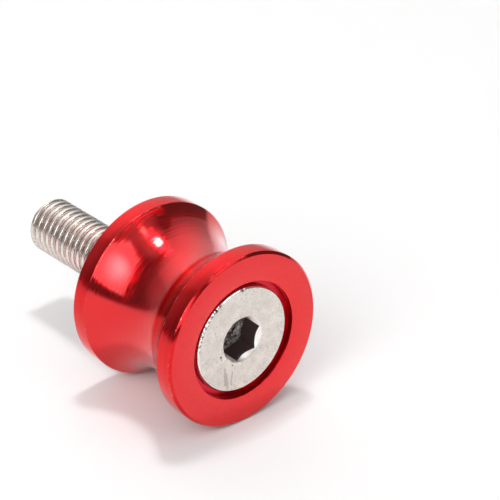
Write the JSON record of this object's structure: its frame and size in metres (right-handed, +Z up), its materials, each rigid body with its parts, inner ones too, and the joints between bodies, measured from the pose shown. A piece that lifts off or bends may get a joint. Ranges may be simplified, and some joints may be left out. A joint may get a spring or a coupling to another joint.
{
  "type": "swingarm spool",
  "caption": "Motorbike swingarm spool: a turned, anodised bobbin with a concave groove for a paddock stand's hook, held by a countersunk hex socket screw whose stud leaves the seat face.",
  "frame": {"origin": "centre of the seat face, the end that lies against the swingarm, on the spool's axis", "axes": "+Y along the spool's axis out of the seat face, with the stud; -Y is the side with the screw's head; +Z up as the spool lies on its side"},
  "size_m": [0.032, 0.0542, 0.032],
  "materials": {
    "anodised_red": "satin anodised, glossy in the turned groove",
    "stainless": "turned, lightly polished"
  },
  "bodies": {
    "root": {"spool_body": "anodised_red", "countersunk_screw": "stainless"}
  },
  "joints": []
}
